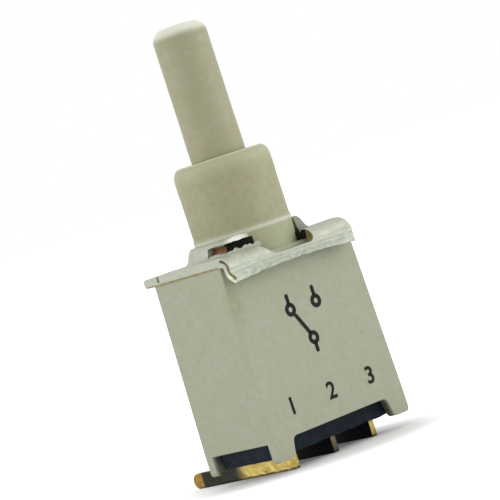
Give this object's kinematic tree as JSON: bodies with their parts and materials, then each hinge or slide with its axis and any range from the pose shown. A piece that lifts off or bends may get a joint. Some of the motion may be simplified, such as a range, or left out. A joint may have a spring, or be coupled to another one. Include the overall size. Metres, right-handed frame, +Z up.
{
  "type": "pushbutton switch",
  "caption": "Ultra-miniature momentary pushbutton switch: plastic body with bushing and long plunger, bent metal frame plate, side-leg terminals.",
  "frame": {"origin": "on the plunger's axis, in the plane of the terminal legs' undersides", "axes": "+Z up along the plunger towards its free end, -Y towards the flat front face, +Y towards the tips of the terminal legs"},
  "size_m": [0.0086, 0.009, 0.0206],
  "materials": {
    "case_plastic": "moulded, faint mottling",
    "bushing_plastic": "moulded, slightly yellowed",
    "plunger_plastic": "moulded, slightly yellowed",
    "tinned_sheet": "bright tin plating, scuffed",
    "sealant": "cured red-brown bead",
    "sealing_compound": "cast blue-black resin",
    "base_moulding": "moulded",
    "gold_plate": "gold plating, scuffed",
    "contact_gold": "polished gold plating",
    "seal_rubber": "moulded rubber",
    "stop_rubber": "moulded rubber",
    "carrier_plastic": "moulded",
    "spring_steel": "drawn wire",
    "seat_fibre": "punched fibre sheet"
  },
  "bodies": {
    "switch_body": {"housing": "case_plastic", "frame_plate": "tinned_sheet", "bushing": "bushing_plastic", "neck_sealant": "sealant", "base_insulator": "base_moulding", "sealing_block": "sealing_compound", "spring_seat": "seat_fibre", "terminal_nc": "gold_plate", "terminal_common": "gold_plate", "terminal_no": "gold_plate", "fixed_contact_nc": "contact_gold", "fixed_contact_common": "contact_gold", "fixed_contact_no": "contact_gold", "return_spring": "spring_steel"},
    "plunger_group": {"plunger": "plunger_plastic", "plunger_seal": "seal_rubber", "stop_ring": "stop_rubber", "contact_carrier": "carrier_plastic", "moving_contact": "contact_gold", "contact_spring": "spring_steel"}
  },
  "joints": [
    {"name": "plunger_press", "type": "slide", "parent": "switch_body", "child": "plunger_group", "axis": [0, 0, -1], "range_m": [0, 0.0012], "stiffness_N_per_m": 1200, "deforming": ["return_spring"]}
  ]
}
